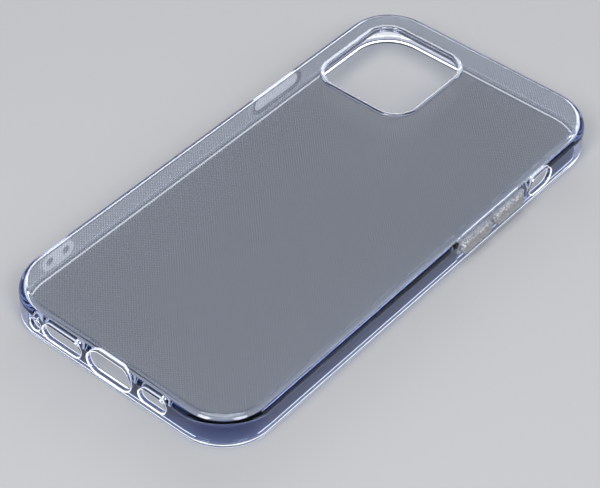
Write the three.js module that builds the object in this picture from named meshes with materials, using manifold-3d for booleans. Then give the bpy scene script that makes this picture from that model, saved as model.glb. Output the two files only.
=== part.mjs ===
// Clear back case for a slim 6.1-inch-class phone, lying face down: the back panel is on top
// and the mouth that the phone goes in through is at z = 0. Millimetres, +Z up, +Y towards the
// camera end, +X towards the side that carries the volume covers. The origin is on the rest
// plane, in the middle of the footprint.
import * as THREE from "three";
import { mergeVertices } from "three/addons/utils/BufferGeometryUtils.js";
import Module from "manifold-3d";

const wasm = await Module();
wasm.setup();

// Driving dimensions: the case as a whole
const CASE_LENGTH = 150.0;
const CASE_WIDTH = 74.6; // across the side walls, without the button covers
const CASE_HEIGHT = 9.6; // lip face to back face
const CORNER_RADIUS = 13.5; // of the outline, seen from above
const WALL = 1.5;
const PANEL_THICKNESS = 1.2;
const BACK_EDGE_RADIUS = 2.8; // where the side walls turn into the back
const FLOOR_FILLET = 0.6; // inside, where the walls meet the back
const JOINT_GAP = 0.3; // clearance between neighbouring pieces
const CORNER_STEPS = 12; // facets in each corner of the outline
const EDGE_STEPS = 5; // facets in each rounded edge of a section

// Front lip, the band that the case rests on
const LIP_BAND = 1.25; // height of the band, up to its parting line
const LIP_THICKNESS = 0.75; // of the ledge that keeps the screen off a table
const LIP_INSET = 2.4; // outer wall face to the lip's inner edge
const LIP_EDGE_RADIUS = 1.0;

// Camera window and the raised guard around it
const CAMERA = { x: -16.0, y: 51.5, width: 28.25, length: 29.95, radius: 6.2 };
const GUARD_WIDTH = 1.4;
const GUARD_RISE = 0.5; // above the back face
const GUARD_EDGE_RADIUS = 0.5;

// Openings in the short wall at the charging end: x of the centre, z, length, height
const SPEAKER_SLOT = { x: -15.35, z: 4.6, length: 12.3, height: 4.3 };
const CHARGING_PORT = { x: 0.0, z: 5.05, length: 13.9, height: 6.6 };
const MICROPHONE_SLOT = { x: 13.6, z: 4.8, length: 8.3, height: 4.1 };
const STRAP_HOLE = { x: -24.3, z: 4.2, length: 3.4, height: 3.4 };

// Openings in the long walls: y of the centre, z, length, height
const MUTE_WINDOW = { y: 46.05, z: 4.8, length: 9.5, height: 5.2 };
const LANYARD_WINDOW = { y: -55.3, z: 4.7, length: 10.6, height: 5.0 };
const LANYARD_HOLES = [-58.1, -52.5]; // y of the two strap holes
const LANYARD_HOLE_RADIUS = 1.05;
const LANYARD_RECESS = 0.45; // pad face below the wall face

// Button covers: each stands on a thin web in a shallow oval recess of the wall
const COVER_Z = 5.1;
const COVER_HEIGHT = 3.8;
const COVER_PROUD = 0.8; // beyond the wall face
const COVER_TRAVEL = 0.4; // inward, until the cover meets the phone's own key
const COVER_CLEARANCE = 0.05; // left between a pressed cover and the pocket
const COVER_EDGE = 0.45;
const POWER_COVER = { y: 27.6, length: 17.4 };
const VOLUME_UP_COVER = { y: 32.0, length: 12.4 };
const VOLUME_DOWN_COVER = { y: 18.15, length: 12.4 };
const WEB_THICKNESS = 0.5;
const WEB_HEIGHT = 5.6; // of the opening that the web fills
const WEB_MARGIN = 1.2; // web past the ends of its covers
const RECESS_DEPTH = 0.5;
const RECESS_HEIGHT = 6.4;
const RECESS_MARGIN = 1.2; // recess past the ends of its web

const clearMaterial = new THREE.MeshStandardMaterial({
  color: 0xc9d4e6,
  roughness: 0.06,
  metalness: 0,
});
const hazeMaterial = new THREE.MeshStandardMaterial({
  color: 0xa9b0bd,
  roughness: 0.3,
  metalness: 0,
});
const frostedMaterial = new THREE.MeshStandardMaterial({
  color: 0xd9dadd,
  roughness: 0.6,
  metalness: 0,
});

// Points of a rounded rectangle centred on the origin, counter-clockwise, `inset` inside its edge.
function roundedOutline(width, length, radius, inset) {
  const arcRadius = radius - inset;
  const points = [];
  for (let corner = 0; corner < 4; corner += 1) {
    const toRight = corner === 0 || corner === 3 ? 1 : -1;
    const toTop = corner < 2 ? 1 : -1;
    for (let step = 0; step <= CORNER_STEPS; step += 1) {
      const angle = (corner + step / CORNER_STEPS) * (Math.PI / 2);
      points.push(
        new THREE.Vector2(
          toRight * (width / 2 - radius) + arcRadius * Math.cos(angle),
          toTop * (length / 2 - radius) + arcRadius * Math.sin(angle),
        ),
      );
    }
  }
  return points;
}

// Arc of section points [inset, z] about a centre, from one angle to another in degrees.
function sectionArc(inset, z, radius, fromDegrees, toDegrees) {
  const points = [];
  for (let step = 0; step <= EDGE_STEPS; step += 1) {
    const degrees = fromDegrees + ((toDegrees - fromDegrees) * step) / EDGE_STEPS;
    const angle = THREE.MathUtils.degToRad(degrees);
    points.push([inset + radius * Math.cos(angle), z + radius * Math.sin(angle)]);
  }
  return points;
}

// Closed ring: a section of [inset, z] points, counter-clockwise, carried round a rounded rectangle.
function sweptRing(width, length, radius, section) {
  const loops = section.map(([inset]) => roundedOutline(width, length, radius, inset));
  const stations = loops[0].length;
  const position = [];
  for (let station = 0; station < stations; station += 1) {
    section.forEach(([, z], index) => {
      position.push(loops[index][station].x, loops[index][station].y, z);
    });
  }
  const faces = [];
  const count = section.length;
  for (let station = 0; station < stations; station += 1) {
    const next = (station + 1) % stations;
    for (let index = 0; index < count; index += 1) {
      const after = (index + 1) % count;
      const a = station * count + index;
      const b = station * count + after;
      const c = next * count + after;
      const d = next * count + index;
      faces.push(a, b, c, a, c, d);
    }
  }
  const geometry = new THREE.BufferGeometry();
  geometry.setAttribute("position", new THREE.Float32BufferAttribute(position, 3));
  geometry.setIndex(faces);
  return geometry;
}

// Flat shape with semicircular ends, along the local X axis.
function stadium(length, height, middle = 0) {
  const radius = height / 2;
  const reach = length / 2 - radius;
  const shape = new THREE.Shape();
  shape.absarc(middle + reach, 0, radius, -Math.PI / 2, Math.PI / 2, false);
  shape.absarc(middle - reach, 0, radius, Math.PI / 2, Math.PI * 1.5, false);
  return shape;
}

// Extrusion whose outline stands against a wall: local X runs sideways, local Y runs up and
// the extrusion runs outwards. `outward` is the wall's direction and `centre` its inner end.
function standOnWall(geometry, outward, centre) {
  const up = new THREE.Vector3(0, 0, 1);
  const sideways = new THREE.Vector3().crossVectors(up, outward);
  const frame = new THREE.Matrix4().makeBasis(sideways, up, outward);
  frame.setPosition(centre);
  return geometry.applyMatrix4(frame);
}

function solidOf(geometry) {
  const bare = geometry.index ? geometry.toNonIndexed() : geometry.clone();
  bare.deleteAttribute("normal");
  bare.deleteAttribute("uv");
  const merged = mergeVertices(bare, 1e-4);
  return new wasm.Manifold(
    new wasm.Mesh({
      numProp: 3,
      vertProperties: merged.attributes.position.array,
      triVerts: new Uint32Array(merged.index.array),
    }),
  );
}

function geometryOf(solid) {
  const { vertProperties, triVerts } = solid.getMesh();
  const geometry = new THREE.BufferGeometry();
  geometry.setAttribute("position", new THREE.BufferAttribute(vertProperties, 3));
  geometry.setIndex(new THREE.BufferAttribute(triVerts, 1));
  geometry.computeVertexNormals();
  return geometry;
}

const SHORT_WALL = new THREE.Vector3(0, -1, 0);
const VOLUME_WALL = new THREE.Vector3(1, 0, 0);
const POWER_WALL = new THREE.Vector3(-1, 0, 0);

// Stadium-shaped extrusion on a wall, from `deep` below the wall's outer face to `proud` above it.
function wallStadium(outward, place, { length, height, deep, proud, holes = [], edge = 0 }) {
  const shape = stadium(length, height);
  shape.holes.push(...holes);
  const geometry = new THREE.ExtrudeGeometry(shape, {
    depth: deep + proud - 2 * edge,
    curveSegments: 10,
    bevelEnabled: edge > 0,
    bevelThickness: edge,
    bevelSize: edge,
    bevelOffset: -edge,
    bevelSegments: 3,
  });
  geometry.translate(0, 0, edge);
  const face = outward.y === 0 ? CASE_WIDTH / 2 : CASE_LENGTH / 2;
  const centre = outward.clone().multiplyScalar(face - deep);
  centre.x += place.x ?? 0;
  centre.y += place.y ?? 0;
  centre.z = place.z;
  return standOnWall(geometry, outward, centre);
}

const CUT_DEEP = 4.0; // a through cut starts this far inside the wall face
const CUT_PROUD = 2.0;
const throughCut = (outward, place, length, height) =>
  wallStadium(outward, place, { length, height, deep: CUT_DEEP, proud: CUT_PROUD });

// Middle and lengths of the web and recess that a row of covers shares.
function buttonBay(...covers) {
  const low = Math.min(...covers.map((cover) => cover.y - cover.length / 2));
  const high = Math.max(...covers.map((cover) => cover.y + cover.length / 2));
  const webLength = high - low + 2 * WEB_MARGIN;
  const recessLength = webLength + 2 * RECESS_MARGIN;
  return { covers, y: (low + high) / 2, webLength, recessLength };
}

const powerBay = buttonBay(POWER_COVER);
const volumeBay = buttonBay(VOLUME_UP_COVER, VOLUME_DOWN_COVER);

// The soft bumper: side walls, the rounded shoulder that holds the panel, and every cut in them.
function makeBumperFrame() {
  const shoulder = BACK_EDGE_RADIUS;
  const floor = CASE_HEIGHT - PANEL_THICKNESS;
  const foot = LIP_BAND + JOINT_GAP;
  const section = [
    [0, foot],
    [WALL, foot],
    ...sectionArc(WALL + FLOOR_FILLET, floor - FLOOR_FILLET, FLOOR_FILLET, 180, 90),
    [shoulder, floor],
    ...sectionArc(shoulder, CASE_HEIGHT - BACK_EDGE_RADIUS, BACK_EDGE_RADIUS, 90, 180),
  ];
  let frame = solidOf(sweptRing(CASE_WIDTH, CASE_LENGTH, CORNER_RADIUS, section));
  for (const hole of [SPEAKER_SLOT, CHARGING_PORT, MICROPHONE_SLOT, STRAP_HOLE]) {
    frame = frame.subtract(solidOf(throughCut(SHORT_WALL, hole, hole.length, hole.height)));
  }
  const { length: muteLength, height: muteHeight } = MUTE_WINDOW;
  frame = frame.subtract(solidOf(throughCut(VOLUME_WALL, MUTE_WINDOW, muteLength, muteHeight)));
  const { length: padLength, height: padHeight } = LANYARD_WINDOW;
  frame = frame.subtract(solidOf(throughCut(POWER_WALL, LANYARD_WINDOW, padLength, padHeight)));
  for (const [outward, bay] of [[POWER_WALL, powerBay], [VOLUME_WALL, volumeBay]]) {
    const place = { y: bay.y, z: COVER_Z };
    const recess = { deep: RECESS_DEPTH, proud: CUT_PROUD, height: RECESS_HEIGHT };
    frame = frame
      .subtract(solidOf(wallStadium(outward, place, { length: bay.recessLength, ...recess })))
      .subtract(solidOf(throughCut(outward, place, bay.webLength, WEB_HEIGHT)));
  }
  return geometryOf(frame);
}

// The band under the frame: outer face, screen ledge and the rest face.
function makeScreenLip() {
  const section = [
    ...sectionArc(LIP_EDGE_RADIUS, LIP_EDGE_RADIUS, LIP_EDGE_RADIUS, 180, 270),
    [LIP_INSET, 0],
    [LIP_INSET, LIP_THICKNESS],
    [WALL, LIP_THICKNESS],
    [WALL, LIP_BAND],
    [0, LIP_BAND],
  ];
  return sweptRing(CASE_WIDTH, CASE_LENGTH, CORNER_RADIUS, section);
}

// The stiff hazy panel, let into the frame's shoulder and cut out round the camera guard.
function makeBackPanel() {
  const inset = BACK_EDGE_RADIUS + JOINT_GAP;
  const shape = new THREE.Shape(
    roundedOutline(CASE_WIDTH, CASE_LENGTH, CORNER_RADIUS, inset),
  );
  const hole = roundedOutline(CAMERA.width, CAMERA.length, CAMERA.radius, -GUARD_WIDTH - JOINT_GAP);
  const centre = new THREE.Vector2(CAMERA.x, CAMERA.y);
  shape.holes.push(new THREE.Path(hole.map((point) => point.add(centre))));
  const geometry = new THREE.ExtrudeGeometry(shape, {
    depth: PANEL_THICKNESS,
    bevelEnabled: false,
  });
  return geometry.translate(0, 0, CASE_HEIGHT - PANEL_THICKNESS);
}

// The raised guard that keeps the camera glass off a table.
function makeCameraGuard() {
  const bottom = CASE_HEIGHT - PANEL_THICKNESS;
  const top = CASE_HEIGHT + GUARD_RISE;
  const radius = GUARD_EDGE_RADIUS;
  const section = [
    [-GUARD_WIDTH, bottom],
    [0, bottom],
    ...sectionArc(-radius, top - radius, radius, 0, 90),
    ...sectionArc(-GUARD_WIDTH + radius, top - radius, radius, 90, 180),
  ];
  const ring = sweptRing(CAMERA.width, CAMERA.length, CAMERA.radius, section);
  return ring.translate(CAMERA.x, CAMERA.y, 0);
}

// A frosted cover that passes a press on to the phone's own key.
function makeCover(outward, cover) {
  return wallStadium(outward, { y: cover.y, z: COVER_Z }, {
    length: cover.length,
    height: COVER_HEIGHT,
    deep: WALL - COVER_TRAVEL - COVER_CLEARANCE,
    proud: COVER_PROUD,
    edge: COVER_EDGE,
  });
}

// The thin web of a bay, which bends to let its covers move.
function makeWeb(outward, bay) {
  const sign = outward.x; // local X runs along world +Y on the volume wall, -Y on the power wall
  const holes = bay.covers.map((cover) =>
    stadium(
      cover.length + 2 * JOINT_GAP,
      COVER_HEIGHT + 2 * JOINT_GAP,
      sign * (cover.y - bay.y),
    ),
  );
  return wallStadium(outward, { y: bay.y, z: COVER_Z }, {
    length: bay.webLength - 2 * JOINT_GAP,
    height: WEB_HEIGHT - 2 * JOINT_GAP,
    deep: RECESS_DEPTH + WEB_THICKNESS,
    proud: -RECESS_DEPTH,
    holes,
  });
}

// The recessed pad that a wrist strap is threaded through.
function makeLanyardPad() {
  const holes = LANYARD_HOLES.map((y) => {
    const hole = new THREE.Path();
    hole.absarc(LANYARD_WINDOW.y - y, 0, LANYARD_HOLE_RADIUS, 0, Math.PI * 2, false);
    return hole;
  });
  return wallStadium(POWER_WALL, LANYARD_WINDOW, {
    length: LANYARD_WINDOW.length - 2 * JOINT_GAP,
    height: LANYARD_WINDOW.height - 2 * JOINT_GAP,
    deep: WALL,
    proud: -LANYARD_RECESS,
    holes,
  });
}

const phoneCase = new THREE.Group();

function addPiece(name, geometry, material) {
  const mesh = new THREE.Mesh(geometry, material);
  mesh.name = name;
  phoneCase.add(mesh);
}

addPiece("bumper_frame", makeBumperFrame(), clearMaterial);
addPiece("screen_lip", makeScreenLip(), clearMaterial);
addPiece("back_panel", makeBackPanel(), hazeMaterial);
addPiece("camera_guard_ring", makeCameraGuard(), clearMaterial);
addPiece("power_button_web", makeWeb(POWER_WALL, powerBay), clearMaterial);
addPiece("volume_buttons_web", makeWeb(VOLUME_WALL, volumeBay), clearMaterial);
addPiece("power_button_cover", makeCover(POWER_WALL, POWER_COVER), frostedMaterial);
addPiece("volume_up_button_cover", makeCover(VOLUME_WALL, VOLUME_UP_COVER), frostedMaterial);
addPiece("volume_down_button_cover", makeCover(VOLUME_WALL, VOLUME_DOWN_COVER), frostedMaterial);
addPiece("lanyard_pad", makeLanyardPad(), frostedMaterial);

export default phoneCase;
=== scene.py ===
"""Clear back case for a slim phone, lying face down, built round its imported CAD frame.

Lengths are in metres, +Z is up, +Y points to the camera end and +X to the volume side.
Every size that a CAD node holds is read from the frame; the others are fields below.
"""

import logging
import math
from dataclasses import dataclass, field
from enum import Enum
from typing import Callable, Sequence

import bmesh  # noqa: E402
import bpy  # noqa: E402
from mathutils import Matrix, Vector  # noqa: E402

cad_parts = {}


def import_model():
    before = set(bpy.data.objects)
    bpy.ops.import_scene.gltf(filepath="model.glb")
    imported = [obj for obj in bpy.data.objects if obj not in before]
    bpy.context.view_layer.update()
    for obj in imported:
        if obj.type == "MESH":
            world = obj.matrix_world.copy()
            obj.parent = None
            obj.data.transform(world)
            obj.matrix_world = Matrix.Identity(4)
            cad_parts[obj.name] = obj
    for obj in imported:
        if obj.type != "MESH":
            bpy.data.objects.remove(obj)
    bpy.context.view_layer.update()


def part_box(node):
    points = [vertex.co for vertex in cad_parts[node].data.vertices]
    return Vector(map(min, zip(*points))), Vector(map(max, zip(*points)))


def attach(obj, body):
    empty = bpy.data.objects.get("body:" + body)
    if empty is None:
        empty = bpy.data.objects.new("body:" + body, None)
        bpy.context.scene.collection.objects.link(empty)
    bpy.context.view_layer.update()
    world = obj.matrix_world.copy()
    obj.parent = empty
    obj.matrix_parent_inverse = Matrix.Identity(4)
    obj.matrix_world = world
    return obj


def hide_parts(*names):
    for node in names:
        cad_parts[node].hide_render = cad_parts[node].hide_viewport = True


MM = 0.001
TOUCH = 0.02 * MM  # how near a point lies to an outline that it belongs to
WELD = 1e-7  # vertices nearer than this are one
KNIT = 0.03 * MM  # how far neighbouring pieces of one moulding run into each other
OVERRUN = 1 * MM  # how far a cutting slab goes past the face that it cuts
PROUD = 3 * MM  # how far a cutting bar stands out of a wall
THROUGH = 4 * MM  # how deep a bar reaches that cuts right through a wall
FACING = 0.9  # least dot product of two directions that count as the same
NEARLY_ROUND = 0.9999  # share of a bar's half height that its corners' bevels take up
SHARP = math.radians(50)  # least angle between the faces at a slab's edge
RIM_SHARP = math.radians(25)  # and at the rim of an opening
BLACK = (0.0, 0.0, 0.0, 1.0)

Colour = tuple[float, float, float]

log = logging.getLogger("phone_case")


class Wall(Enum):
    """A side of the case, by the direction in which it faces."""

    CHARGING_END = (0, -1)
    VOLUME_SIDE = (1, 0)
    POWER_SIDE = (-1, 0)

    @property
    def outward(self) -> Vector:
        """Unit vector out of the wall."""
        return Vector((self.value[0], self.value[1], 0.0))

    @property
    def sideways(self) -> Vector:
        """Unit vector along the wall, to the right for someone who faces it."""
        return Vector((0.0, 0.0, 1.0)).cross(self.outward)


class Part(Enum):
    """Which finish of a piece a face has, as its place among the piece's materials."""

    BODY = 0
    # faces with a glowing finish: painted highlights on rims, lines and edges
    EDGE = 1
    # faces with a painted glow, emission that stands in for light falling on them
    LIT = 2


# --------------------------------------------------------------------------- workshop


def take_up(piece: bpy.types.Object) -> None:
    """Make a piece the only selected one, and the active one.

    Args:
        piece: The piece.
    """
    bpy.ops.object.select_all(action="DESELECT")
    piece.select_set(True)
    bpy.context.view_layer.objects.active = piece


def begin_edit(piece: bpy.types.Object) -> None:
    """Open a piece in edit mode with nothing on it selected.

    Args:
        piece: The mesh object to work on.
    """
    take_up(piece)
    bpy.ops.object.mode_set(mode="EDIT")
    bpy.ops.mesh.select_mode(type="VERT")
    bpy.ops.mesh.select_all(action="DESELECT")


def end_edit() -> None:
    """Go back to object mode."""
    bpy.ops.object.mode_set(mode="OBJECT")


def pick_edges(piece: bpy.types.Object, wanted: Callable[[bmesh.types.BMEdge], bool]) -> int:
    """Select the edges of an open mesh that pass a test.

    Args:
        piece: The mesh object that is in edit mode.
        wanted: Says whether an edge is picked.

    Returns:
        How many edges were picked.
    """
    bpy.ops.mesh.select_mode(type="EDGE")
    bpy.ops.mesh.select_all(action="DESELECT")
    mesh = bmesh.from_edit_mesh(piece.data)
    picked = [edge for edge in mesh.edges if wanted(edge)]
    for edge in picked:
        edge.select_set(True)
    bmesh.update_edit_mesh(piece.data)
    return len(picked)


def at_height(z: float) -> Callable[[bmesh.types.BMEdge], bool]:
    """Make a test for the sharp edges that lie at one height.

    Args:
        z: The height.

    Returns:
        The test, for pick_edges.
    """

    def wanted(edge: bmesh.types.BMEdge) -> bool:
        """Whether both ends are at the height and the edge is a sharp one."""
        level = all(abs(vertex.co.z - z) < TOUCH for vertex in edge.verts)
        return level and edge.calc_face_angle(0.0) > SHARP

    return wanted


def round_edges(
    piece: bpy.types.Object,
    wanted: Callable[[bmesh.types.BMEdge], bool],
    radius: float,
    segments: int,
    part: Part = Part.BODY,
    merge: float = 0.0,
) -> int:
    """Round the edges of a finished solid that pass a test.

    Args:
        piece: The mesh object.
        wanted: Says whether an edge is rounded.
        radius: Radius of the rounding.
        segments: Facets across it.
        part: Which finish the new faces take.
        merge: Corners along the edge that are nearer than this become one first.

    Returns:
        How many edges were rounded.
    """
    begin_edit(piece)
    if merge:
        pick_edges(piece, wanted)
        bpy.ops.mesh.remove_doubles(threshold=merge)
    count = pick_edges(piece, wanted)
    if count:
        bpy.ops.mesh.bevel(
            offset=radius, segments=segments, profile=0.5, affect="EDGES", clamp_overlap=not merge
        )
        mesh = bmesh.from_edit_mesh(piece.data)
        for face in mesh.faces:
            if face.select:
                face.material_index = part.value
        bmesh.update_edit_mesh(piece.data)
    end_edit()
    return count


def mark_faces(
    piece: bpy.types.Object, wanted: Callable[[bpy.types.MeshPolygon], bool], part: Part
) -> None:
    """Give the faces that pass a test another finish of their piece.

    Args:
        piece: The mesh object.
        wanted: Says whether a face is meant.
        part: Which finish they take.
    """
    for face in piece.data.polygons:
        if wanted(face):
            face.material_index = part.value


def inset_from(point: Vector, size: tuple[float, float], radius: float) -> float:
    """How far a point lies inside a rounded rectangle about the origin.

    Args:
        point: The point; its height doesn't matter.
        size: Width and length of the rectangle.
        radius: Its corner radius.

    Returns:
        The distance, negative outside.
    """
    over = [abs(point[axis]) - (size[axis] / 2 - radius) for axis in (0, 1)]
    return radius - math.hypot(max(over[0], 0.0), max(over[1], 0.0)) - min(max(over), 0.0)


def slab(
    name: str,
    size: tuple[float, float],
    radius: float,
    low: float,
    high: float,
    arc: int = 20,
) -> bpy.types.Object:
    """Model an upright slab whose outline is a rounded rectangle about the origin.

    Args:
        name: Name of the new object.
        size: Width along X and length along Y.
        radius: Corner radius of the outline.
        low: Height of the bottom face.
        high: Height of the top face.
        arc: Facets in each corner.

    Returns:
        The slab, a closed mesh.
    """
    bpy.ops.object.select_all(action="DESELECT")
    bpy.ops.mesh.primitive_plane_add(size=1.0, location=(0.0, 0.0, 0.0))
    piece = bpy.context.active_object
    piece.name = name
    begin_edit(piece)
    bpy.ops.mesh.select_all(action="SELECT")
    bpy.ops.transform.resize(value=(size[0], size[1], 1.0), center_override=(0.0, 0.0, 0.0))
    bpy.ops.transform.translate(value=(0.0, 0.0, low))
    bpy.ops.mesh.bevel(offset=radius, segments=arc, affect="VERTICES", profile=0.5)
    bpy.ops.mesh.select_all(action="SELECT")
    bpy.ops.mesh.extrude_region_move(TRANSFORM_OT_translate={"value": (0.0, 0.0, high - low)})
    bpy.ops.mesh.select_all(action="SELECT")
    bpy.ops.mesh.remove_doubles(threshold=WELD)
    bpy.ops.mesh.normals_make_consistent(inside=False)
    end_edit()
    return piece


def set_down(piece: bpy.types.Object, place: Sequence[float], turn: Sequence[float]) -> None:
    """Turn and move a piece that was modelled about the origin, and write that into its mesh.

    Args:
        piece: The mesh object.
        place: Where its origin goes.
        turn: Turn about X, Y and Z, in degrees.
    """
    take_up(piece)
    piece.rotation_euler = [math.radians(angle) for angle in turn]
    piece.location = place
    bpy.ops.object.transform_apply(location=True, rotation=True, scale=True)


def cut_away(piece: bpy.types.Object, other: bpy.types.Object) -> None:
    """Cut a second solid out of the first and use it up.

    Args:
        piece: The solid that stays.
        other: The solid that is used up.
    """
    take_up(piece)
    step = piece.modifiers.new("cut_away", "BOOLEAN")
    step.operation = "DIFFERENCE"
    step.solver = "EXACT"
    step.object = other
    bpy.ops.object.modifier_apply(modifier=step.name)
    bpy.data.objects.remove(other)


def polish(piece: bpy.types.Object, angle: float = 40.0) -> None:
    """Shade a piece smooth, with true normals on its flat faces.

    Args:
        piece: The mesh object.
        angle: Edges sharper than this, in degrees, stay sharp.
    """
    take_up(piece)
    bpy.ops.object.shade_smooth_by_angle(angle=math.radians(angle))
    step = piece.modifiers.new("flat_faces", "WEIGHTED_NORMAL")
    step.mode = "FACE_AREA"
    step.weight = 100
    step.keep_sharp = True
    bpy.ops.object.modifier_apply(modifier=step.name)


@dataclass(frozen=True)
class Stadium:
    """An oblong with round ends on a wall."""

    wall: Wall
    along: float  # of its centre, on the wall's own row axis (x or y)
    z: float
    length: float
    height: float

    def centre(self, face: float) -> Vector:
        """Point on the wall face in the middle of the oblong.

        Args:
            face: Distance of the wall face from the middle of the case.

        Returns:
            The point.
        """
        outward = self.wall.outward
        across = Vector((abs(outward.y), abs(outward.x), 0.0))
        return outward * face + across * self.along + Vector((0.0, 0.0, self.z))

    def offset(self, point: Vector) -> float:
        """Distance of a point from the outline, seen square to the wall.

        Args:
            point: Any point.

        Returns:
            The distance, negative inside.
        """
        local = point - self.centre(0.0)
        reach = (self.length - self.height) / 2
        side = max(abs(local.dot(self.wall.sideways)) - reach, 0.0)
        return math.hypot(side, local.z) - self.height / 2

    def bar(self, face: float, deep: float, proud: float, arc: int = 12) -> bpy.types.Object:
        """Model a bar with this section, square to the wall.

        Args:
            face: Distance of the wall face from the middle of the case.
            deep: How far below the face it starts.
            proud: How far above the face it ends.
            arc: Facets in each quarter of the round ends.

        Returns:
            The bar, a closed mesh.
        """
        radius = self.height / 2 * NEARLY_ROUND
        bar = slab("bar", (self.length, self.height), radius, -deep, proud, arc)
        turn = {Wall.CHARGING_END: 0.0, Wall.VOLUME_SIDE: 90.0, Wall.POWER_SIDE: -90.0}
        set_down(bar, self.centre(face), (90.0, 0.0, turn[self.wall]))
        return bar

    def rim(self, edge: bmesh.types.BMEdge) -> bool:
        """Whether an edge runs along this outline, on either side of the wall.

        Args:
            edge: The edge.

        Returns:
            True for an edge of the rim.
        """
        start, end = (vertex.co for vertex in edge.verts)
        if start.dot(self.wall.outward) < 0.0:
            return False
        if abs(self.offset(start)) > TOUCH or abs(self.offset(end)) > TOUCH:
            return False
        span = end - start
        span -= self.wall.outward * span.dot(self.wall.outward)
        return span.length > TOUCH / 2 and edge.calc_face_angle(0.0) > RIM_SHARP


# --------------------------------------------------------------------------- sub-assemblies


@dataclass
class Outline:
    """The case's outline and heights; those without a value here are read from the frame."""

    radius: float = 13.5 * MM
    wall: float = 1.5 * MM
    shoulder: float = 2.8 * MM  # radius between the walls and the back
    haze_inset: float = 2.35 * MM  # where the clear shoulder gives way to the hazy panel
    size: tuple[float, float] = field(init=False)
    top: float = field(init=False)
    floor: float = field(init=False)  # underside of the panel
    parting: float = field(init=False)  # where the walls stand on the lip

    def __post_init__(self) -> None:
        """Read the sizes that the CAD nodes hold."""
        low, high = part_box("bumper_frame")
        self.size = (high.x - low.x, high.y - low.y)
        self.top = high.z
        self.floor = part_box("back_panel")[0].z
        self.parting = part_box("screen_lip")[1].z

    def slab(self, name: str, inset: float, low: float, high: float) -> bpy.types.Object:
        """Model a slab with the case's outline, moved inwards.

        Args:
            name: Name of the new object.
            inset: How far inside the case's outline.
            low: Height of the bottom face.
            high: Height of the top face.

        Returns:
            The slab.
        """
        size = (self.size[0] - 2 * inset, self.size[1] - 2 * inset)
        return slab(name, size, self.radius - inset, low, high)

    def face(self, wall: Wall) -> float:
        """Distance of a wall's outer face from the middle of the case."""
        return self.size[1] / 2 if wall is Wall.CHARGING_END else self.size[0] / 2


@dataclass
class ButtonBay:
    """Covers in a row, the thin web that they stand on and the recess round it."""

    outline: Outline
    wall: Wall
    web_node: str
    covers: dict[str, str]  # CAD node of each cover: the body that it rides on
    recess_depth: float = 0.5 * MM
    recess_margin: float = 1.2 * MM
    recess_height: float = 6.4 * MM
    window_gap: float = 0.3 * MM
    cover_arc: int = 14
    cover_edge: float = 0.55 * MM
    cover_facets: int = 6
    rim_round: float = 0.12 * MM
    # finish of the recess rim; on the power side it takes a painted highlight
    rim_part: Part = Part.BODY
    inner_part: Part = Part.BODY  # of the covers' faces towards the pocket; on the power cover they take a painted glow

    def stadium(self, node: str, grow: float = 0.0) -> Stadium:
        """The oblong that a CAD node on this wall fills.

        Args:
            node: The CAD node.
            grow: How much wider the oblong is all round.

        Returns:
            The oblong.
        """
        low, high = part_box(node)
        middle = (low + high) / 2
        length = high.y - low.y + 2 * grow
        return Stadium(self.wall, middle.y, middle.z, length, high.z - low.z + 2 * grow)

    def depths(self, node: str) -> tuple[float, float]:
        """How far a node reaches below the wall's face and out of it.

        Args:
            node: The CAD node.

        Returns:
            The two distances.
        """
        face = self.outline.face(self.wall)
        low, high = sorted(abs(corner.x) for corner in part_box(node))
        return face - low, high - face

    def window(self) -> Stadium:
        """The opening in the wall that the web fills."""
        return self.stadium(self.web_node, self.window_gap)

    def recess(self) -> Stadium:
        """The shallow oval round the web.

        Returns:
            The oval.
        """
        window = self.window()
        length = window.length + 2 * self.recess_margin
        return Stadium(self.wall, window.along, window.z, length, self.recess_height)

    def make_web(self) -> bpy.types.Object:
        """Model the web, knitted into the wall all round.

        Returns:
            The web.
        """
        face = self.outline.face(self.wall)
        web = self.stadium(self.web_node, self.window_gap + KNIT)
        piece = web.bar(face, *self.depths(self.web_node))
        for node in self.covers:
            hole = self.stadium(node, -KNIT)
            cut_away(piece, hole.bar(face, PROUD, PROUD))
        piece.name = self.web_node + "_moulded"
        polish(piece)
        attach(piece, "case")
        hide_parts(self.web_node)
        return piece

    def make_cover(self, node: str, body: str) -> bpy.types.Object:
        """Model one cover with a soft domed edge.

        Args:
            node: The CAD node that it stands for.
            body: The body that it rides on.

        Returns:
            The cover.
        """
        face = self.outline.face(self.wall)
        deep, proud = self.depths(node)
        piece = self.stadium(node).bar(face, deep, proud, self.cover_arc)
        outward = self.wall.outward

        def front(edge: bmesh.types.BMEdge) -> bool:
            """Whether an edge bounds the outer face."""
            return all(abs(v.co.dot(outward) - face - proud) < TOUCH for v in edge.verts)

        round_edges(piece, front, self.cover_edge, self.cover_facets)
        mark_faces(piece, lambda f: f.normal.dot(outward) < -FACING, self.inner_part)
        piece.name = node + "_frosted"
        polish(piece)
        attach(piece, body)
        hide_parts(node)
        return piece


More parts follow.
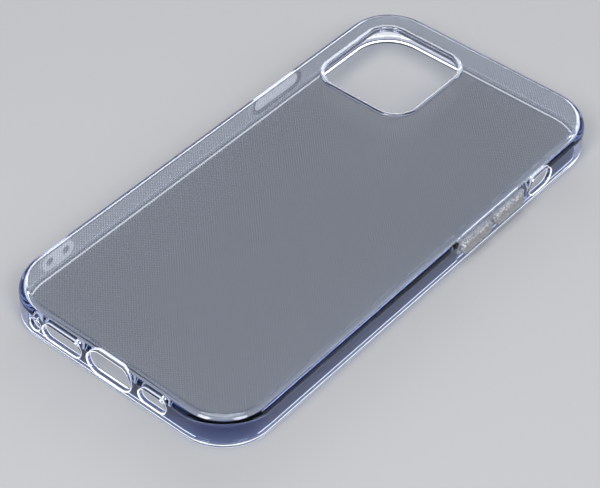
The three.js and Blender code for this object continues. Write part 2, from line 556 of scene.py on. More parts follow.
@dataclass
class Bumper:
    """The clear side walls and the lip under them."""

    outline: Outline
    bays: list[ButtonBay]
    back_facets: int = 9
    floor_fillet: float = 0.6 * MM
    fillet_facets: int = 4
    rim_round: float = 0.3 * MM
    rim_facets: int = 3
    rim_merge: float = 0.1 * MM
    parting_groove: float = 0.15 * MM
    groove_slope: tuple[float, float] = (0.2, 0.9)  # its flanks, by the Z of their normals
    lip_ledge: float = 0.75 * MM
    lip_inset: float = 2.4 * MM
    lip_edge: float = 0.6 * MM
    lip_facets: int = 6
    # heights of a painted highlight line along the foot of the lip
    painted_foot_line: tuple[float, float] = (0.12 * MM, 0.5 * MM)
    ledge_round: float = 0.4 * MM
    ledge_facets: int = 3
    painted_highlight_slope: tuple[float, float] = (0.5, 0.98)  # the ledge's part that takes a painted highlight, likewise
    painted_highlight_side: float = -0.3  # least X minus Y of its normal there, which keeps the painted highlight to the two far sides
    upright: float = 0.5  # greatest Z of the normal of an upright face
    speaker: Stadium = Stadium(Wall.CHARGING_END, -15.35 * MM, 4.6 * MM, 12.3 * MM, 4.5 * MM)
    port: Stadium = Stadium(Wall.CHARGING_END, 0.0, 5.05 * MM, 13.9 * MM, 6.6 * MM)
    microphone: Stadium = Stadium(Wall.CHARGING_END, 13.6 * MM, 4.8 * MM, 8.3 * MM, 4.1 * MM)
    strap_hole: Stadium = Stadium(Wall.CHARGING_END, -24.3 * MM, 4.2 * MM, 3.4 * MM, 3.4 * MM)
    mute: Stadium = Stadium(Wall.VOLUME_SIDE, 46.05 * MM, 4.8 * MM, 9.5 * MM, 5.2 * MM)
    pad_window: Stadium = Stadium(Wall.POWER_SIDE, -55.3 * MM, 4.7 * MM, 10.8 * MM, 5.2 * MM)

    def in_groove(self, face: bpy.types.MeshPolygon) -> bool:
        """Whether a face is a flank of the groove at the parting line, which takes a painted
        highlight.

        Args:
            face: The face.

        Returns:
            True for a flank.
        """
        low, high = self.groove_slope
        near = abs(face.center.z - self.outline.parting) < self.parting_groove
        return near and low < abs(face.normal.z) < high

    def ledge_edge(self, edge: bmesh.types.BMEdge) -> bool:
        """Whether an edge is the upper inner edge of the screen ledge.

        Args:
            edge: The edge.

        Returns:
            True for an edge of the ledge.
        """
        case = self.outline
        for vertex in edge.verts:
            inset = inset_from(vertex.co, case.size, case.radius)
            if abs(inset - self.lip_inset) > 2 * TOUCH:
                return False
            if abs(vertex.co.z - self.lip_ledge) > TOUCH:
                return False
        return True

    def on_painted_ledge_highlight(self, face: bpy.types.MeshPolygon) -> bool:
        """Whether a face is on the ledge's round edge, on the two far sides that take a painted
        highlight.

        Args:
            face: The face.

        Returns:
            True for a face with the painted highlight.
        """
        case = self.outline
        low, high = self.painted_highlight_slope
        if not low < face.normal.z < high or face.center.z > self.lip_ledge + TOUCH:
            return False
        inset = inset_from(face.center, case.size, case.radius)
        return inset > case.wall + TOUCH and face.normal.x - face.normal.y > self.painted_highlight_side

    def on_inner_side(self, face: bpy.types.MeshPolygon) -> bool:
        """Whether a face is on the inner side of the walls, which takes a painted glow.

        Args:
            face: The face.

        Returns:
            True for a face towards the pocket.
        """
        case = self.outline
        if abs(face.normal.z) > self.upright or face.center.z > case.floor:
            return False
        return abs(inset_from(face.center, case.size, case.radius) - case.wall) < 2 * TOUCH

    def in_painted_foot_line(self, face: bpy.types.MeshPolygon) -> bool:
        """Whether a face is in the fine painted highlight line along the foot of the walls.

        Args:
            face: The face.

        Returns:
            True for a face of the line.
        """
        case = self.outline
        low, high = self.painted_foot_line
        outer = inset_from(face.center, case.size, case.radius) < self.lip_edge
        return outer and low < face.center.z < high

    def make_frame(self) -> bpy.types.Object:
        """Model the walls with their shoulder and every opening in them.

        Returns:
            The frame.
        """
        case = self.outline
        frame = case.slab("frame", 0.0, case.parting, case.top)
        round_edges(frame, at_height(case.top), case.shoulder, self.back_facets)
        round_edges(frame, at_height(case.parting), self.parting_groove, 1)
        pocket = case.slab("pocket", case.wall, -OVERRUN, case.floor)
        round_edges(pocket, at_height(case.floor), self.floor_fillet, self.fillet_facets)
        cut_away(frame, pocket)
        inset = case.haze_inset + KNIT
        cut_away(frame, case.slab("window", inset, case.floor - OVERRUN, case.top + OVERRUN))
        openings = [self.speaker, self.port, self.microphone, self.strap_hole]
        openings += [self.mute, self.pad_window]
        # The rims take the glowing edge finish, a painted highlight.
        rims = [(opening, self.rim_round, Part.EDGE) for opening in openings]
        for opening in openings:
            cut_away(frame, opening.bar(case.face(opening.wall), THROUGH, PROUD))
        for bay in self.bays:
            face = case.face(bay.wall)
            cut_away(frame, bay.recess().bar(face, bay.recess_depth, PROUD))
            cut_away(frame, bay.window().bar(face, THROUGH, PROUD))
            rims.append((bay.recess(), bay.rim_round, bay.rim_part))
        for rim, radius, part in rims:
            count = round_edges(frame, rim.rim, radius, self.rim_facets, part, self.rim_merge)
            log.info("rounded %d edges at %s %.1f mm", count, rim.wall.name, rim.along / MM)
        # The groove's flanks take a painted highlight; the walls' inner side a painted glow.
        mark_faces(frame, self.in_groove, Part.EDGE)
        mark_faces(frame, self.on_inner_side, Part.LIT)
        frame.name = "bumper_frame_moulded"
        polish(frame)
        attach(frame, "case")
        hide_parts("bumper_frame")
        return frame

    def make_lip(self) -> bpy.types.Object:
        """Model the lip with its screen ledge.

        Returns:
            The lip.
        """
        case = self.outline
        lip = case.slab("lip", 0.0, 0.0, case.parting + KNIT)
        round_edges(lip, at_height(0.0), self.lip_edge, self.lip_facets)
        round_edges(lip, at_height(case.parting + KNIT), self.parting_groove, 1)
        cut_away(lip, case.slab("mouth", self.lip_inset, -OVERRUN, 2 * OVERRUN))
        cut_away(lip, case.slab("seat", case.wall, self.lip_ledge, 3 * OVERRUN))
        round_edges(lip, self.ledge_edge, self.ledge_round, self.ledge_facets)
        # Painted highlights on the groove's flanks and along the foot; a painted glow on the ledge's
        # far sides.
        mark_faces(lip, self.in_groove, Part.EDGE)
        mark_faces(lip, self.in_painted_foot_line, Part.EDGE)
        mark_faces(lip, self.on_painted_ledge_highlight, Part.LIT)
        lip.name = "screen_lip_moulded"
        polish(lip)
        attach(lip, "case")
        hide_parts("screen_lip")
        return lip


@dataclass
class Back:
    """The stiff panel and the raised guard round its camera window."""

    outline: Outline
    guard_radius: float = 6.2 * MM
    guard_arc: int = 16
    guard_width: float = 1.4 * MM
    guard_round: float = 0.5 * MM
    guard_facets: int = 5
    foot_round: float = 0.2 * MM
    foot_facets: int = 2
    # width of the painted highlight line round the inside of the crest
    painted_crest_line: float = 0.03 * MM
    window: tuple[float, float] = field(init=False)
    centre: Vector = field(init=False)
    guard_top: float = field(init=False)

    def __post_init__(self) -> None:
        """Read where the camera guard is."""
        low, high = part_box("camera_guard_ring")
        self.centre = (low + high) / 2
        self.guard_top = high.z
        self.window = (
            high.x - low.x - 2 * self.guard_width,
            high.y - low.y - 2 * self.guard_width,
        )

    def window_slab(self, grow: float, low: float, high: float) -> bpy.types.Object:
        """Model a slab with the camera window's outline, made larger.

        Args:
            grow: How much larger all round.
            low: Height of the bottom face.
            high: Height of the top face.

        Returns:
            The slab.
        """
        size = (self.window[0] + 2 * grow, self.window[1] + 2 * grow)
        piece = slab("camera_window", size, self.guard_radius + grow, low, high, self.guard_arc)
        set_down(piece, (self.centre.x, self.centre.y, 0.0), (0.0, 0.0, 0.0))
        return piece

    def make_panel(self) -> bpy.types.Object:
        """Model the panel, knitted into the shoulder and the guard.

        Returns:
            The panel.
        """
        case = self.outline
        left = case.shoulder - case.haze_inset  # of the shoulder, for the panel's own edge
        drop = case.shoulder - math.sqrt(case.shoulder**2 - left**2)
        panel = case.slab("panel", case.haze_inset, case.floor, case.top - drop)
        begin_edit(panel)
        bpy.ops.mesh.select_mode(type="FACE")
        mesh = bmesh.from_edit_mesh(panel.data)
        for face in mesh.faces:
            face.select_set(face.normal.z > FACING)
        bmesh.update_edit_mesh(panel.data)
        bpy.ops.mesh.inset(thickness=left, depth=drop)
        end_edit()
        grow = self.guard_width - KNIT
        cut_away(panel, self.window_slab(grow, case.floor - OVERRUN, case.top + OVERRUN))
        panel.name = "back_panel_hazy"
        polish(panel)
        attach(panel, "case")
        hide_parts("back_panel")
        return panel

    def on_crest(self, face: bpy.types.MeshPolygon) -> bool:
        """Whether a face is in the fine painted highlight line round the inside of the guard's crest.

        Args:
            face: The face.

        Returns:
            True for a face of the line.
        """
        local = face.center - self.centre
        outside = -inset_from(local, self.window, self.guard_radius)
        return outside < self.painted_crest_line and face.center.z > self.guard_top - self.guard_round

    def make_guard(self) -> bpy.types.Object:
        """Model the guard with a round crest and a soft foot.

        Returns:
            The guard.
        """
        case = self.outline
        guard = self.window_slab(self.guard_width, case.floor, self.guard_top)
        cut_away(guard, self.window_slab(0.0, 0.0, self.guard_top + OVERRUN))
        round_edges(guard, at_height(self.guard_top), self.guard_round, self.guard_facets)
        round_edges(guard, at_height(case.floor), self.foot_round, self.foot_facets)
        # The crest's inner line takes a painted highlight.
        mark_faces(guard, self.on_crest, Part.EDGE)
        guard.name = "camera_guard_moulded"
        polish(guard)
        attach(guard, "case")
        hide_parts("camera_guard_ring")
        return guard


@dataclass
class LanyardPad:
    """The recessed pad with two strap holes."""

    outline: Outline
    window_gap: float = 0.4 * MM
    holes: tuple[float, float] = (-58.1 * MM, -52.5 * MM)
    hole_radius: float = 1.05 * MM
    hole_arc: int = 8
    hole_round: float = 0.25 * MM
    hole_facets: int = 3

    def make(self) -> bpy.types.Object:
        """Model the pad.

        Returns:
            The pad.
        """
        wall = Wall.POWER_SIDE
        face = self.outline.face(wall)
        low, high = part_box("lanyard_pad")
        middle = (low + high) / 2
        grow = 2 * (self.window_gap + KNIT)
        pad = Stadium(wall, middle.y, middle.z, high.y - low.y + grow, high.z - low.z + grow)
        piece = pad.bar(face, face + high.x, -low.x - face)
        bore = 2 * self.hole_radius
        for along in self.holes:
            hole = Stadium(wall, along, middle.z, bore, bore)
            cut_away(piece, hole.bar(face, THROUGH, PROUD, self.hole_arc))
            # The holes' rims take a painted highlight.
            round_edges(piece, hole.rim, self.hole_round, self.hole_facets, Part.EDGE)
        # The pad's face towards the pocket takes a painted glow.
        mark_faces(piece, lambda f: f.normal.dot(wall.outward) < -FACING, Part.LIT)
        piece.name = "lanyard_pad_frosted"
        polish(piece)
        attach(piece, "case")
        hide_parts("lanyard_pad")
        return piece


# --------------------------------------------------------------------------- finishes


class NodeBench:
    """Adds nodes to one node tree and joins them."""

    def __init__(self, tree: bpy.types.NodeTree) -> None:
        """Take over a tree.

        Args:
            tree: The tree of a material or a group.
        """
        self.tree = tree

    def add(self, kind: str, **settings: object) -> bpy.types.Node:
        """Add a node.

        Args:
            kind: Its type, without the ShaderNode prefix.
            **settings: Its properties.

        Returns:
            The node.
        """
        prefix = "" if kind.startswith("NodeGroup") else "ShaderNode"
        node = self.tree.nodes.new(prefix + kind)
        for name, value in settings.items():
            setattr(node, name, value)
        return node

    def join(self, source: bpy.types.NodeSocket, target: bpy.types.NodeSocket) -> None:
        """Join an output to an input."""
        self.tree.links.new(source, target)

    def feed(self, target: bpy.types.NodeSocket, value: object) -> None:
        """Join a socket to an input, or set the input to a plain value.

        Args:
            target: The input.
            value: An output socket, a number, a vector or a colour.
        """
        if isinstance(value, bpy.types.NodeSocket):
            self.join(value, target)
        else:
            target.default_value = value

    def maths(self, operation: str, *values: object) -> bpy.types.NodeSocket:
        """Add a Math node.

        Args:
            operation: What it does.
            *values: Its inputs, as sockets or numbers.

        Returns:
            Its output.
        """
        node = self.add("Math", operation=operation)
        for target, value in zip(node.inputs, values):
            self.feed(target, value)
        return node.outputs[0]

    def ramp(
        self, value: object, start: float, end: float, low: float, high: float
    ) -> bpy.types.NodeSocket:
        """Map a value from one range onto another, easing in and out.

        Args:
            value: The value.
            start: Where the source range starts.
            end: Where it ends.
            low: What start becomes.
            high: What end becomes.

        Returns:
            The mapped value.
        """
        node = self.add("MapRange", interpolation_type="SMOOTHSTEP")
        for target, item in zip(node.inputs, (value, start, end, low, high)):
            self.feed(target, item)
        return node.outputs[0]

    def blend(self, share: object, first: object, second: object) -> bpy.types.NodeSocket:
        """Mix two colours.

        Args:
            share: How much of the second there is.
            first: The first colour.
            second: The second colour.

        Returns:
            The mixed colour.
        """
        node = self.add("Mix", data_type="RGBA")
        self.feed(node.inputs[0], share)
        self.feed(node.inputs[6], first)
        self.feed(node.inputs[7], second)
        return node.outputs[2]

    def noise(self, place: bpy.types.NodeSocket, scale: object, detail: float) -> bpy.types.NodeSocket:
        """Add a noise pattern.

        Args:
            place: The coordinates that it reads.
            scale: Lumps per metre.
            detail: How many finer layers it has.

        Returns:
            The pattern, 0 to 1.
        """
        node = self.add("TexNoise")
        self.join(place, node.inputs["Vector"])
        self.feed(node.inputs["Scale"], scale)
        node.inputs["Detail"].default_value = detail
        return node.outputs["Fac"]


def new_group(
    name: str, inputs: dict[str, float], outputs: Sequence[str]
) -> tuple[NodeBench, bpy.types.Node, bpy.types.Node]:
    """Start a shader node group whose inputs and outputs are numbers.

    Args:
        name: Its name.
        inputs: The inputs and their usual values.
        outputs: The outputs.

    Returns:
        A bench for it, its input node and its output node.
    """
    tree = bpy.data.node_groups.new(name, "ShaderNodeTree")
    tree.interface.new_socket("Place", in_out="INPUT", socket_type="NodeSocketVector")
    for label, value in inputs.items():
        socket = tree.interface.new_socket(label, in_out="INPUT", socket_type="NodeSocketFloat")
        socket.default_value = value
    for label in outputs:
        tree.interface.new_socket(label, in_out="OUTPUT", socket_type="NodeSocketFloat")
    bench = NodeBench(tree)
    return bench, bench.add("NodeGroupInput"), bench.add("NodeGroupOutput")


class Effects:
    """The surface effects of the finishes, each built once."""

    PATCH_SCALE = 60.0  # wiped patches per metre
    PATCH_RANGE = (0.52, 0.72)  # of the noise, from polished to wiped
    LUMP_SCALE = 2600.0  # lumps of the grain per metre
    CELL_REACH = 0.6  # of a cell, from the middle of a bump to its foot
    SPECK_RANGE = (0.51, 0.60)  # of the lumps, from plain to bright
    SPOT_RANGE = (0.35, 0.65)  # of the lattice wave, from the plain face to a dot

    def __init__(self) -> None:
        """Build every effect."""
        self.flow = self.make_flow()
        self.grain = self.make_grain()
        self.dots = self.make_dots()

    @staticmethod
    def make_flow() -> bpy.types.NodeTree:
        """Build the faint waviness and wiped patches of a polished moulding.

        Returns:
            The group, with a height in metres and a share of wiped surface.
        """
        bench, start, end = new_group(
            "mould_flow", {"Wave Height": 0.00001, "Wave Scale": 45.0}, ("Height", "Wiped")
        )
        waves = bench.noise(start.outputs["Place"], start.outputs["Wave Scale"], 1.0)
        height = bench.maths("MULTIPLY", waves, start.outputs["Wave Height"])
        patches = bench.noise(start.outputs["Place"], Effects.PATCH_SCALE, 3.0)
        bench.join(height, end.inputs["Height"])
        bench.join(bench.ramp(patches, *Effects.PATCH_RANGE, 0.0, 1.0), end.inputs["Wiped"])
        return bench.tree

    @staticmethod
    def make_grain() -> bpy.types.NodeTree:
        """Build the fine speckled grain of a frosted face.

        Returns:
            The group, with a height from 0 to 1 and a share of bright specks.
        """
        bench, start, end = new_group("frost_grain", {"Scale": 2600.0}, ("Height", "Specks"))
        cells = bench.add("TexVoronoi", feature="F1")
        bench.join(start.outputs["Place"], cells.inputs["Vector"])
        bench.join(start.outputs["Scale"], cells.inputs["Scale"])
        lumps = bench.noise(start.outputs["Place"], Effects.LUMP_SCALE, 2.0)
        bumps = bench.ramp(cells.outputs["Distance"], 0.0, Effects.CELL_REACH, 1.0, 0.0)
        bench.join(bench.maths("MULTIPLY", bumps, lumps), end.inputs["Height"])
        bench.join(bench.ramp(lumps, *Effects.SPECK_RANGE, 0.0, 1.0), end.inputs["Specks"])
        return bench.tree

    @staticmethod
    def make_dots() -> bpy.types.NodeTree:
        """Build the staggered field of fine dots on a level face.

        Returns:
            The group, with 1 on each dot and 0 between them and above the face.
        """
        bench, start, end = new_group("dot_field", {"Pitch": 0.0006, "Top": 0.009}, ("Dot",))
        parts = bench.add("SeparateXYZ")
        bench.join(start.outputs["Place"], parts.inputs[0])
        row = bench.maths("MULTIPLY", start.outputs["Pitch"], math.sqrt(0.5))
        turn = bench.maths("DIVIDE", math.pi, row)
        waves = [
            bench.maths("COSINE", bench.maths("MULTIPLY", parts.outputs[axis], turn))
            for axis in (0, 1)
        ]
        lattice = bench.maths("MULTIPLY", *waves)
        spot = bench.ramp(lattice, *Effects.SPOT_RANGE, 0.0, 1.0)
        below = bench.maths("LESS_THAN", parts.outputs[2], start.outputs["Top"])
        bench.join(bench.maths("MULTIPLY", spot, below), end.inputs["Dot"])
        return bench.tree


@dataclass(frozen=True)
class Finish:
    """What every see-through finish of the case has in common."""

    name: str
    slot: str
    effects: Effects
    colour: Colour
    lamp_tint: Colour  # of the lamplight that it lets through
    deep_colour: Colour = (0.40, 0.51, 0.78)  # that light takes on inside it
    density: float = 0.0  # how fast it does so, per metre
    transmission: float = 1.0
    ior: float = 1.49
    roughness: float = 0.02

    def start(self) -> tuple[NodeBench, bpy.types.Material, bpy.types.Node, bpy.types.NodeSocket]:
        """Start the material: a clear plastic that lets lamplight through.

        Returns:
            Its bench, the material, its plastic shader and the place on the piece.
        """
        material = bpy.data.materials.new(self.name)
        material.use_nodes = True
        material.node_tree.nodes.clear()
        bench = NodeBench(material.node_tree)
        plastic = bench.add("BsdfPrincipled")
        plastic.inputs["Base Color"].default_value = (*self.colour, 1.0)
        plastic.inputs["Roughness"].default_value = self.roughness
        plastic.inputs["IOR"].default_value = self.ior
        plastic.inputs["Transmission Weight"].default_value = self.transmission
        open_air = bench.add("BsdfTransparent")
        open_air.inputs["Color"].default_value = (*self.lamp_tint, 1.0)
        ray = bench.add("LightPath")
        shown = plastic
        for kind in ("Is Shadow Ray", "Is Diffuse Ray"):
            choice = bench.add("MixShader")
            bench.join(ray.outputs[kind], choice.inputs[0])
            bench.join(shown.outputs[0], choice.inputs[1])
            bench.join(open_air.outputs[0], choice.inputs[2])
            shown = choice
        out = bench.add("OutputMaterial")
        bench.join(shown.outputs[0], out.inputs["Surface"])
        if self.density:
            depth = bench.add("VolumeAbsorption")
            depth.inputs["Color"].default_value = (*self.deep_colour, 1.0)
            depth.inputs["Density"].default_value = self.density
            bench.join(depth.outputs[0], out.inputs["Volume"])
        place = bench.add("TexCoord").outputs["Object"]
        return bench, material, plastic, place

    def effect(
        self, bench: NodeBench, tree: bpy.types.NodeTree, place: bpy.types.NodeSocket, **values: float
    ) -> bpy.types.Node:
        """Place a shared effect.

        Args:
            bench: The material's bench.
            tree: The effect.
            place: The coordinates that it reads.
            **values: Its inputs, with _ for a space.

        Returns:
            The effect's node.
        """
        node = bench.add("Group", node_tree=tree)
        bench.join(place, node.inputs["Place"])
        for label, value in values.items():
            node.inputs[label.replace("_", " ")].default_value = value
        return node

    def relief(self, bench: NodeBench, plastic: bpy.types.Node, height: object, depth: float) -> None:
        """Give a shader its relief.

        Args:
            bench: The material's bench.
            plastic: The shader.
            height: The height map.
            depth: The height of a value of 1, in metres.
        """
        bump = bench.add("Bump")
        bump.inputs["Distance"].default_value = depth
        bench.join(height, bump.inputs["Height"])
        bench.join(bump.outputs[0], plastic.inputs["Normal"])

    def dress(self, pieces: Sequence[bpy.types.Object], part: Part = Part.BODY) -> None:
        """Put the finish on pieces.

        Args:
            pieces: The pieces.
            part: Which of their faces take it.
        """
        material = self.make()
        for piece in pieces:
            while len(piece.data.materials) <= part.value:
                piece.data.materials.append(None)
            piece.data.materials[part.value] = material

    def make(self) -> bpy.types.Material:
        """Build the material; each finish has its own way."""
        raise NotImplementedError


@dataclass(frozen=True)
class ClearMoulding(Finish):
    """Polished clear soft plastic with a blue cast in its depth, and an optional painted glow on one
    side of its faces.
    """

    wave_height: float = 0.008 * MM
    wave_scale: float = 55.0
    wiped_roughness: float = 0.06
    glow: float = 0.0  # painted glow: emission on the side that its faces' normals point to; their back gets none
    glow_colour: Colour = (0.82, 0.86, 0.96)

    def make(self) -> bpy.types.Material:
        """Build the material.

        Returns:
            The material.
        """
        bench, material, plastic, place = self.start()
        waves = {"Wave_Height": self.wave_height, "Wave_Scale": self.wave_scale}
        flow = self.effect(bench, self.effects.flow, place, **waves)
        rough = bench.ramp(flow.outputs["Wiped"], 0.0, 1.0, self.roughness, self.wiped_roughness)
        bench.join(rough, plastic.inputs["Roughness"])
        self.relief(bench, plastic, flow.outputs["Height"], 1.0)
        # Painted glow: emission on the front of the faces only, standing in for light on the walls'
        # inner side.
        if self.glow:
            behind = bench.add("NewGeometry").outputs["Backfacing"]
            light = bench.blend(behind, (*self.glow_colour, 1.0), BLACK)
            bench.join(light, plastic.inputs["Emission Color"])
            plastic.inputs["Emission Strength"].default_value = self.glow
        return material


@dataclass(frozen=True)
class HazyPanel(Finish):
    """Stiff clear plate, polished outside, with a field of fine dots moulded inside."""

    wave_height: float = 0.01 * MM
    wave_scale: float = 30.0
    wiped_roughness: float = 0.06
    dot_colour: Colour = (0.80, 0.82, 0.86)
    pitch: float = 0.6 * MM
    dot_depth: float = 0.008 * MM
    dot_roughness: float = 0.1  # on top of the face's own
    inner_side: float = 9.0 * MM  # height below which a face takes the dots

    def make(self) -> bpy.types.Material:
        """Build the material.

        Returns:
            The material.
        """
        bench, material, plastic, place = self.start()
        waves = {"Wave_Height": self.wave_height, "Wave_Scale": self.wave_scale}
        flow = self.effect(bench, self.effects.flow, place, **waves)
        spread = {"Pitch": self.pitch, "Top": self.inner_side}
        dot = self.effect(bench, self.effects.dots, place, **spread).outputs["Dot"]
        colour = bench.blend(dot, (*self.colour, 1.0), (*self.dot_colour, 1.0))
        bench.join(colour, plastic.inputs["Base Color"])
        wiped = bench.ramp(flow.outputs["Wiped"], 0.0, 1.0, self.roughness, self.wiped_roughness)
        rough = bench.maths("MULTIPLY_ADD", dot, self.dot_roughness, wiped)
        bench.join(rough, plastic.inputs["Roughness"])
        raised = bench.maths("MULTIPLY_ADD", dot, self.dot_depth, flow.outputs["Height"])
        self.relief(bench, plastic, raised, 1.0)
        return material


@dataclass(frozen=True)
class Grained(Finish):
    """Plastic with a fine grain that scatters light, smoother on its specks, with an optional painted
    glow.
    """

    glow: float = 0.0  # strength of a painted glow, emission that stands in for light on it
    glow_colour: Colour = (1.0, 0.99, 0.97)
    speck_colour: Colour | None = None  # where the specks show, in its colour and its painted glow
    grain_scale: float = 1800.0
    grain_depth: float = 0.01 * MM
    speck_roughness: float = 0.5  # of the roughness between the specks

    def make(self) -> bpy.types.Material:
        """Build the material.

        Returns:
            The material.
        """
        bench, material, plastic, place = self.start()
        grain = self.effect(bench, self.effects.grain, place, Scale=self.grain_scale)
        specks = grain.outputs["Specks"]
        smoothest = self.roughness * self.speck_roughness
        rough = bench.ramp(specks, 0.0, 1.0, self.roughness, smoothest)
        bench.join(rough, plastic.inputs["Roughness"])
        self.relief(bench, plastic, grain.outputs["Height"], self.grain_depth)
        # Painted glow: emission in the glow colour, or in the speck colours where the specks show.
        light: object = (*self.glow_colour, 1.0)
        if self.speck_colour:
            light = bench.blend(specks, (*self.colour, 1.0), (*self.speck_colour, 1.0))
            bench.join(light, plastic.inputs["Base Color"])
        bench.feed(plastic.inputs["Emission Color"], light)
        plastic.inputs["Emission Strength"].default_value = self.glow
        return material


@dataclass(frozen=True)
class PaintedHighlightEdge(Grained):
    """The edge of a clear moulding, given a glowing pale finish: a painted highlight."""


@dataclass(frozen=True)
class FrostedCover(Grained):
    """Translucent plastic with a coarse bright-specked grain."""

    speck_colour: Colour | None = (0.95, 0.95, 0.96)
    grain_scale: float = 3400.0
    grain_depth: float = 0.05 * MM
    speck_roughness: float = 0.6


# --------------------------------------------------------------------------- studio


@dataclass(frozen=True)
class Softbox:
    """A rectangular lamp that faces the case."""

    name: str
    place: tuple[float, float, float]
    size: tuple[float, float]  # its width and height
    power: float  # in watts

    def hang(self) -> bpy.types.Object:
        """Hang the lamp.

        Returns:
            The light.
        """
        data = bpy.data.lights.new(self.name, "AREA")
        data.shape = "RECTANGLE"
        data.size, data.size_y = self.size
        data.energy = self.power
        light = bpy.data.objects.new(self.name, data)
        light.location = self.place
        light.rotation_euler = (-Vector(self.place)).to_track_quat("-Z", "Y").to_euler()
        bpy.context.scene.collection.objects.link(light)
        return light


@dataclass
class Studio:
    """Pale floor, soft lights and the camera."""

    azimuth: float = 38.6
    elevation: float = 43.86
    roll: float = -1.9
    distance: float = 515.6 * MM
    aim: tuple[float, float] = (3.58 * MM, 5.71 * MM)  # of the origin, right of and above centre
    lens: float = 121.74
    film_width: float = 36.0
    seen: tuple[float, float] = (0.01, 20.0)  # nearest and farthest distance that it sees
    floor_size: float = 6.0
    floor_colour: Colour = (0.42, 0.425, 0.44)
    floor_roughness: float = 0.8
    floor_shine: float = 0.2
    room_colour: Colour = (0.52, 0.57, 0.66)
    room_light: float = 0.12
    softboxes: tuple[Softbox, ...] = (
        Softbox("overhead", (0.0, -0.05, 1.35), (0.7, 0.7), 7.5),
        Softbox("back_strip", (-0.78, 1.05, 0.50), (2.0, 0.55), 13.0),
        Softbox("right_strip", (0.95, 0.75, 0.42), (0.9, 0.3), 3.0),
        Softbox("front_window", (0.02, -0.75, 0.70), (0.28, 0.42), 5.5),
        Softbox("right_window", (0.75, -0.25, 0.76), (0.38, 0.40), 5.5),
    )

    def make_camera(self) -> bpy.types.Object:
        """Place the camera.

        Returns:
            The camera.
        """
        azimuth, elevation, roll = map(math.radians, (self.azimuth, self.elevation, self.roll))
        flat = math.cos(elevation)
        back = Vector((math.sin(azimuth) * flat, -math.cos(azimuth) * flat, math.sin(elevation)))
        level = Vector((0.0, 0.0, 1.0)).cross(back).normalized()
        upright = back.cross(level)
        right = level * math.cos(roll) - upright * math.sin(roll)
        up = level * math.sin(roll) + upright * math.cos(roll)
        place = back * self.distance - right * self.aim[0] - up * self.aim[1]
        turn = Matrix((right, up, back)).transposed().to_4x4()
        data = bpy.data.cameras.new("camera")
        data.lens = self.lens
        data.sensor_width = self.film_width
        data.clip_start, data.clip_end = self.seen
        camera = bpy.data.objects.new("camera", data)
        camera.matrix_world = Matrix.Translation(place) @ turn
        bpy.context.scene.collection.objects.link(camera)
        bpy.context.scene.camera = camera
        return camera

    def make_floor(self) -> bpy.types.Object:
        """Lay the floor, which can't be seen from below.

        Returns:
            The floor.
        """
        bpy.ops.object.select_all(action="DESELECT")
        bpy.ops.mesh.primitive_plane_add(size=self.floor_size, location=(0.0, 0.0, 0.0))
        floor = bpy.context.active_object
        floor.name = "floor"
        material = bpy.data.materials.new("pale_floor")
        material.use_nodes = True
        bench = NodeBench(material.node_tree)
        shader = material.node_tree.nodes["Principled BSDF"]
        shader.inputs["Base Color"].default_value = (*self.floor_colour, 1.0)
        shader.inputs["Roughness"].default_value = self.floor_roughness
        shader.inputs["Specular IOR Level"].default_value = self.floor_shine
        from_below = bench.add("MixShader")
        bench.join(bench.add("NewGeometry").outputs["Backfacing"], from_below.inputs[0])
        bench.join(shader.outputs[0], from_below.inputs[1])
        bench.join(bench.add("BsdfTransparent").outputs[0], from_below.inputs[2])
        out = material.node_tree.nodes["Material Output"]
        bench.join(from_below.outputs[0], out.inputs["Surface"])
        floor.data.materials.append(material)
        return floor

    def make_world(self) -> None:
        """Fill the room with a dim, even light."""
        world = bpy.data.worlds.new("room")
        world.use_nodes = True
        shade = world.node_tree.nodes["Background"]
        shade.inputs["Color"].default_value = (*self.room_colour, 1.0)
        shade.inputs["Strength"].default_value = self.room_light
        bpy.context.scene.world = world
        bpy.context.scene.view_settings.view_transform = "Standard"


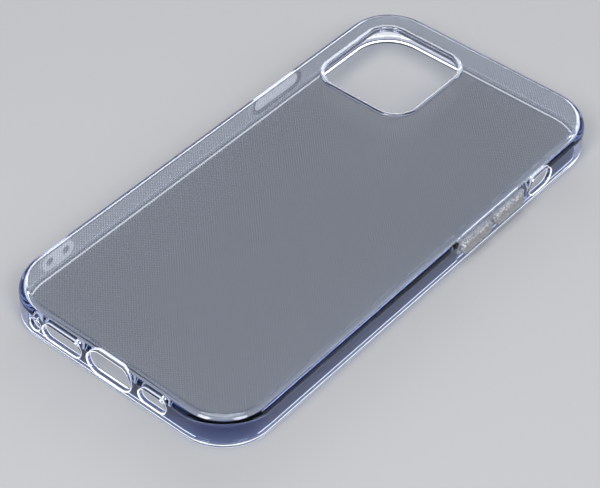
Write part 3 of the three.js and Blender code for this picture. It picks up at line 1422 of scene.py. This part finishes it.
def main() -> None:
    """Build the case and its studio and report each piece."""
    logging.basicConfig(level=logging.INFO, format="%(name)s: %(message)s")
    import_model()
    studio = Studio()
    studio.make_camera()
    studio.make_floor()
    for softbox in studio.softboxes:
        softbox.hang()
    studio.make_world()

    outline = Outline()
    power_bay = ButtonBay(
        outline,
        Wall.POWER_SIDE,
        "power_button_web",
        {"power_button_cover": "power_button"},
        # The power bay's rim takes a painted highlight and its cover's inner faces a painted glow.
        rim_part=Part.EDGE,
        inner_part=Part.LIT,
    )
    volume_bay = ButtonBay(
        outline,
        Wall.VOLUME_SIDE,
        "volume_buttons_web",
        {
            "volume_up_button_cover": "volume_up_button",
            "volume_down_button_cover": "volume_down_button",
        },
    )
    bumper = Bumper(outline, [power_bay, volume_bay])
    back = Back(outline)
    clear_pieces = [
        bumper.make_frame(),
        bumper.make_lip(),
        back.make_guard(),
        power_bay.make_web(),
        volume_bay.make_web(),
    ]
    hazy_pieces = [back.make_panel()]
    milky_pieces = [LanyardPad(outline).make()]
    milky_pieces += [power_bay.make_cover(*cover) for cover in power_bay.covers.items()]
    frosted_pieces = [volume_bay.make_cover(*cover) for cover in volume_bay.covers.items()]

    effects = Effects()
    clear = {
        "slot": "clear_bumper",
        "effects": effects,
        "colour": (0.97, 0.98, 1.0),
        "lamp_tint": (0.90, 0.92, 0.95),
    }
    # Base of the glowing edge finishes that paint highlights.
    white = {**clear, "transmission": 0.3, "roughness": 0.2}
    frost = {
        "slot": "frosted_cover",
        "effects": effects,
        "lamp_tint": (0.6, 0.6, 0.62),
        "roughness": 0.45,
    }
    milky = {**frost, "colour": (0.74, 0.75, 0.78), "transmission": 0.15}
    frame, lip, guard = clear_pieces[:3]
    ClearMoulding("clear_moulding", density=260.0, **clear).dress(clear_pieces)
    # Painted glow on the walls' inner side, lightening the far walls seen across the pocket.
    ClearMoulding("clear_inner_side_painted_glow", glow=0.5, **clear).dress([frame], Part.LIT)
    # Painted highlights: glowing edge finish on rims, groove flanks, the foot line and pad holes.
    PaintedHighlightEdge("painted_highlight_edge", glow=0.5, **white).dress([frame, lip, *milky_pieces], Part.EDGE)
    crest = {**clear, "transmission": 0.7, "roughness": 0.15}
    # Painted highlight: a faint glow on the inside of the guard's crest.
    PaintedHighlightEdge("guard_crest_painted_highlight", glow=0.12, **crest).dress([guard], Part.EDGE)
    # Painted highlight: a strong glow on the ledge's round edge on the far sides.
    PaintedHighlightEdge("painted_highlight_ledge", glow=2.2, **white).dress([lip], Part.LIT)
    HazyPanel(
        "hazy_panel",
        slot="hazy_panel",
        effects=effects,
        colour=(0.34, 0.36, 0.40),
        lamp_tint=(0.68, 0.70, 0.74),
        transmission=0.78,
        roughness=0.03,
    ).dress(hazy_pieces)
    dark = {**frost, "colour": (0.20, 0.21, 0.23), "transmission": 0.3}
    FrostedCover("frosted_cover", **dark).dress(frosted_pieces)
    FrostedCover("milky_frost", **milky).dress(milky_pieces)
    # Painted glow on the pad's and the power cover's faces towards the pocket.
    FrostedCover("frost_painted_glow", glow=1.6, **milky).dress(milky_pieces, Part.LIT)
    for piece in clear_pieces + hazy_pieces + milky_pieces + frosted_pieces:
        log.info("%s: %d faces", piece.name, len(piece.data.polygons))


if __name__ == "__main__":
    main()
